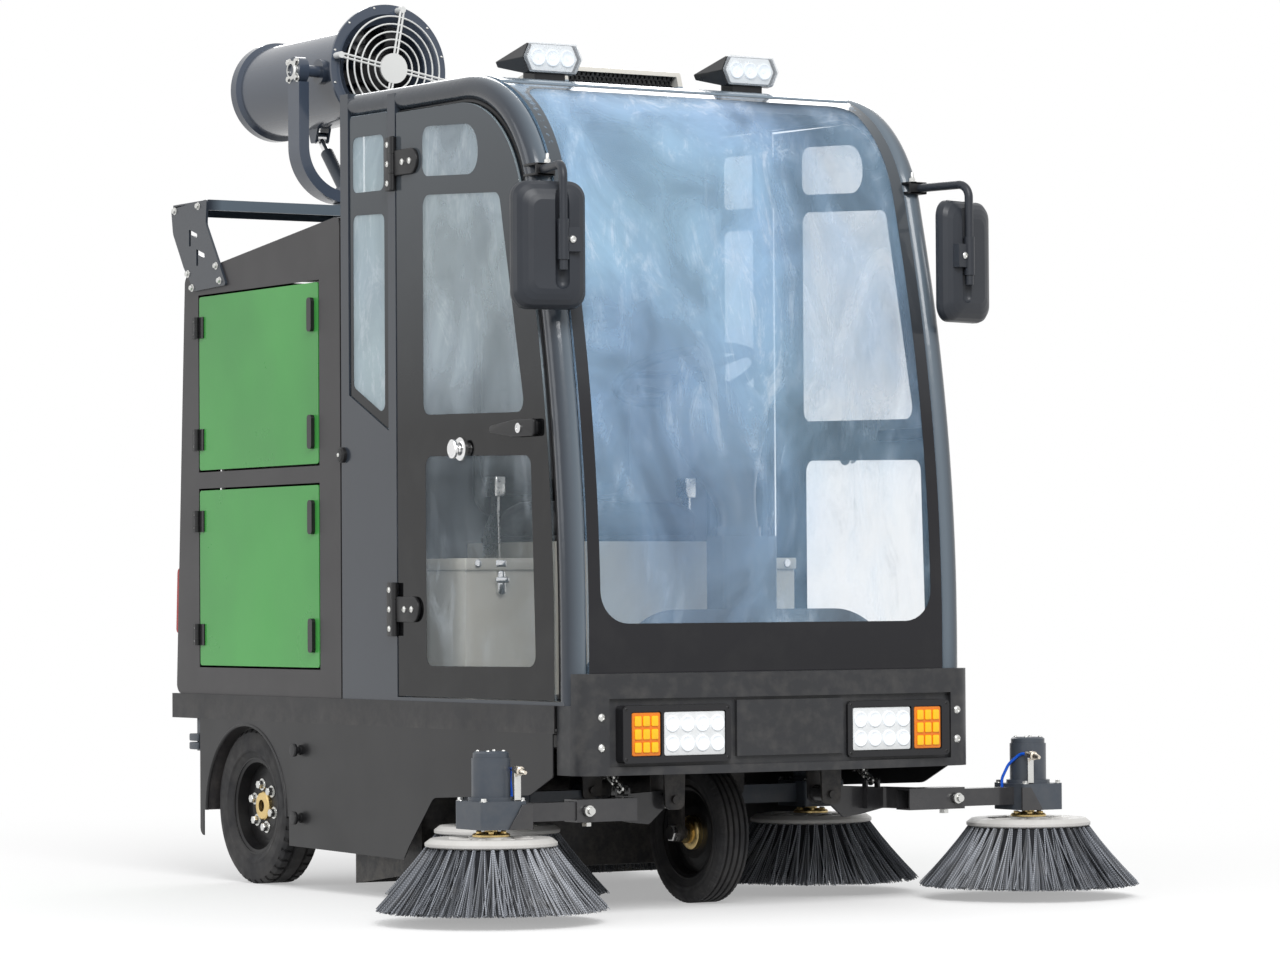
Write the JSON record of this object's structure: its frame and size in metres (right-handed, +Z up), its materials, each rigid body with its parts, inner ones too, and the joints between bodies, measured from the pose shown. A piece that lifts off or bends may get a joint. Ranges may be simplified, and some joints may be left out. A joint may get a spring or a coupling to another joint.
{
  "type": "compact road sweeper",
  "caption": "Enclosed three-wheel ride-on road sweeper with flared side brushes, a main roller, green service doors, glazed cab and a swivelling mist fan on a rear rack.",
  "frame": {"origin": "on the ground below the middle of the machine's length and width", "axes": "+Z up, -Y forward in the driving direction, +X towards the driver's left"},
  "size_m": [1.9, 2.59, 2.173],
  "materials": {
    "anthracite": "satin",
    "pillar_grey": "gloss",
    "chassis_black": "satin",
    "panel_green": "gloss",
    "roof_pale": "gloss",
    "bumper_black": "satin",
    "tinted_glass": "gloss",
    "tyre_rubber": "matte",
    "wheel_grey": "satin",
    "drive_grey": "satin",
    "steel_tube": "brushed",
    "bristle": "matte",
    "seat_vinyl": "satin",
    "console_grey": "matte",
    "trim_black": "satin",
    "lamp_lens": "gloss",
    "lamp_red": "gloss",
    "fan_grey": "satin",
    "chrome_rod": "polished",
    "tank_plastic": "matte",
    "battery_case": "matte",
    "guard_white": "satin"
  },
  "bodies": {
    "machine": {"chassis_frame": "chassis_black", "front_subframe": "chassis_black", "side_skirt_right": "anthracite", "side_skirt_left": "anthracite", "cab_frame": "pillar_grey", "roof_panel": "roof_pale", "windshield": "tinted_glass", "quarter_glass": "tinted_glass", "cab_floor": "anthracite", "cab_boxes": "console_grey", "seat": "seat_vinyl", "steering_console": "console_grey", "rear_box": "anthracite", "tail_rack": "pillar_grey", "rear_lamps": "lamp_red", "battery_block": "battery_case", "water_tank": "tank_plastic", "bumper": "bumper_black", "headlamps": "lamp_lens", "roof_lamps": "lamp_lens", "mirrors": "trim_black", "rear_axle": "chassis_black", "roller_tunnel": "chassis_black", "front_chain_right": "chrome_rod", "front_chain_left": "chrome_rod"},
    "steering_fork": {"steering_fork": "chassis_black"},
    "front_wheel": {"front_tyre": "tyre_rubber", "front_rim": "wheel_grey"},
    "steering_wheel": {"steering_wheel": "trim_black"},
    "rear_wheel_right": {"rear_tyre_right": "tyre_rubber", "rear_rim_right": "wheel_grey"},
    "front_arm_right": {"front_arm_right": "steel_tube", "front_drive_right": "drive_grey"},
    "front_brush_right": {"front_brush_right": "bristle"},
    "inner_arm_right": {"inner_drive_right": "drive_grey"},
    "inner_brush_right": {"inner_brush_right": "bristle"},
    "cab_door_right": {"cab_door_right": "tinted_glass"},
    "upper_bay_door_right": {"upper_bay_door_right": "panel_green"},
    "lower_bay_door_right": {"lower_bay_door_right": "panel_green"},
    "rear_wheel_left": {"rear_tyre_left": "tyre_rubber", "rear_rim_left": "wheel_grey"},
    "front_arm_left": {"front_arm_left": "steel_tube", "front_drive_left": "drive_grey"},
    "front_brush_left": {"front_brush_left": "bristle"},
    "inner_arm_left": {"inner_drive_left": "drive_grey"},
    "inner_brush_left": {"inner_brush_left": "bristle"},
    "cab_door_left": {"cab_door_left": "tinted_glass"},
    "upper_bay_door_left": {"upper_bay_door_left": "panel_green"},
    "lower_bay_door_left": {"lower_bay_door_left": "panel_green"},
    "main_roller": {"main_roller": "bristle"},
    "tailgate": {"tailgate": "anthracite"},
    "mist_yoke": {"mist_yoke": "pillar_grey"},
    "mist_barrel": {"mist_barrel": "fan_grey", "mist_guard": "guard_white"},
    "mist_fan": {"mist_fan": "trim_black"},
    "tilt_jack": {"tilt_jack": "drive_grey"},
    "tilt_rod": {"tilt_rod": "chrome_rod"}
  },
  "joints": [
    {"name": "steering", "type": "hinge", "parent": "machine", "child": "steering_fork", "pos_m": [0, -0.757, 0.3], "axis": [0, 0, 1], "range_deg": [-60, 60]},
    {"name": "front_wheel_roll", "type": "hinge", "parent": "steering_fork", "child": "front_wheel", "pos_m": [0, -0.757, 0.157], "axis": [1, 0, 0], "continuous": true},
    {"name": "steering_wheel_turn", "type": "hinge", "parent": "machine", "child": "steering_wheel", "pos_m": [0, -0.72, 1.18], "axis": [0, 0.342, 0.9397], "range_deg": [-300, 300]},
    {"name": "rear_wheel_roll_right", "type": "hinge", "parent": "machine", "child": "rear_wheel_right", "pos_m": [-0.452, 0.455, 0.186], "axis": [1, 0, 0], "continuous": true},
    {"name": "front_arm_lift_right", "type": "hinge", "parent": "machine", "child": "front_arm_right", "pos_m": [-0.205, -0.953, 0.243], "axis": [0, 1, 0], "range_deg": [0, 7], "deforming": ["front_chain_right"]},
    {"name": "front_brush_spin_right", "type": "hinge", "parent": "front_arm_right", "child": "front_brush_right", "pos_m": [-0.7, -1.045, 0.18], "axis": [0, 0, 1], "continuous": true},
    {"name": "inner_arm_lift_right", "type": "hinge", "parent": "machine", "child": "inner_arm_right", "pos_m": [-0.19, -0.582, 0.25], "axis": [0, 1, 0], "range_deg": [0, 5]},
    {"name": "inner_brush_spin_right", "type": "hinge", "parent": "inner_arm_right", "child": "inner_brush_right", "pos_m": [-0.419, -0.582, 0.18], "axis": [0, 0, 1], "continuous": true},
    {"name": "cab_door_swing_right", "type": "hinge", "parent": "machine", "child": "cab_door_right", "pos_m": [-0.52, -0.297, 1], "axis": [0, 0, 1], "range_deg": [-80, 0]},
    {"name": "upper_bay_swing_right", "type": "hinge", "parent": "machine", "child": "upper_bay_door_right", "pos_m": [-0.519, 0.711, 0.9], "axis": [0, 0, 1], "range_deg": [-100, 0]},
    {"name": "lower_bay_swing_right", "type": "hinge", "parent": "machine", "child": "lower_bay_door_right", "pos_m": [-0.519, 0.711, 0.9], "axis": [0, 0, 1], "range_deg": [-100, 0]},
    {"name": "rear_wheel_roll_left", "type": "hinge", "parent": "machine", "child": "rear_wheel_left", "pos_m": [0.452, 0.455, 0.186], "axis": [1, 0, 0], "continuous": true},
    {"name": "front_arm_lift_left", "type": "hinge", "parent": "machine", "child": "front_arm_left", "pos_m": [0.205, -0.953, 0.243], "axis": [0, 1, 0], "range_deg": [-7, 0], "deforming": ["front_chain_left"]},
    {"name": "front_brush_spin_left", "type": "hinge", "parent": "front_arm_left", "child": "front_brush_left", "pos_m": [0.7, -1.045, 0.18], "axis": [0, 0, 1], "continuous": true},
    {"name": "inner_arm_lift_left", "type": "hinge", "parent": "machine", "child": "inner_arm_left", "pos_m": [0.19, -0.582, 0.25], "axis": [0, 1, 0], "range_deg": [-5, 0]},
    {"name": "inner_brush_spin_left", "type": "hinge", "parent": "inner_arm_left", "child": "inner_brush_left", "pos_m": [0.419, -0.582, 0.18], "axis": [0, 0, 1], "continuous": true},
    {"name": "cab_door_swing_left", "type": "hinge", "parent": "machine", "child": "cab_door_left", "pos_m": [0.52, -0.297, 1], "axis": [0, 0, 1], "range_deg": [0, 80]},
    {"name": "upper_bay_swing_left", "type": "hinge", "parent": "machine", "child": "upper_bay_door_left", "pos_m": [0.519, 0.711, 0.9], "axis": [0, 0, 1], "range_deg": [0, 100]},
    {"name": "lower_bay_swing_left", "type": "hinge", "parent": "machine", "child": "lower_bay_door_left", "pos_m": [0.519, 0.711, 0.9], "axis": [0, 0, 1], "range_deg": [0, 100]},
    {"name": "main_roller_spin", "type": "hinge", "parent": "machine", "child": "main_roller", "pos_m": [0, -0.115, 0.168], "axis": [1, 0, 0], "continuous": true},
    {"name": "tailgate_swing", "type": "hinge", "parent": "machine", "child": "tailgate", "pos_m": [0, 0.80814, 1.306], "axis": [1, 0, 0], "range_deg": [0, 80]},
    {"name": "mist_yaw", "type": "hinge", "parent": "machine", "child": "mist_yoke", "pos_m": [0, 0.803, 1.661], "axis": [0, 0, 1], "range_deg": [-90, 90]},
    {"name": "mist_tilt", "type": "hinge", "parent": "mist_yoke", "child": "mist_barrel", "pos_m": [0, 0.803, 2.01], "axis": [1, 0, 0], "range_deg": [-5, 15]},
    {"name": "mist_fan_spin", "type": "hinge", "parent": "mist_barrel", "child": "mist_fan", "pos_m": [0, 0.803, 2.01], "axis": [0, 1, 0], "continuous": true},
    {"name": "jack_swing", "type": "hinge", "parent": "mist_yoke", "child": "tilt_jack", "pos_m": [0, 0.898, 1.718], "axis": [1, 0, 0], "range_deg": [-3, 7]},
    {"name": "jack_slide", "type": "slide", "parent": "tilt_jack", "child": "tilt_rod", "axis": [0, 0.6902, 0.7236], "range_m": [-0.026, 0.072]}
  ],
  "couplings": [
    {"joint": "steering_wheel_turn", "follows": "steering", "ratio": 5},
    {"joint": "jack_swing", "follows": "mist_tilt", "ratio": 0.345},
    {"joint": "jack_slide", "follows": "mist_tilt", "m_per_rad": 0.266}
  ]
}
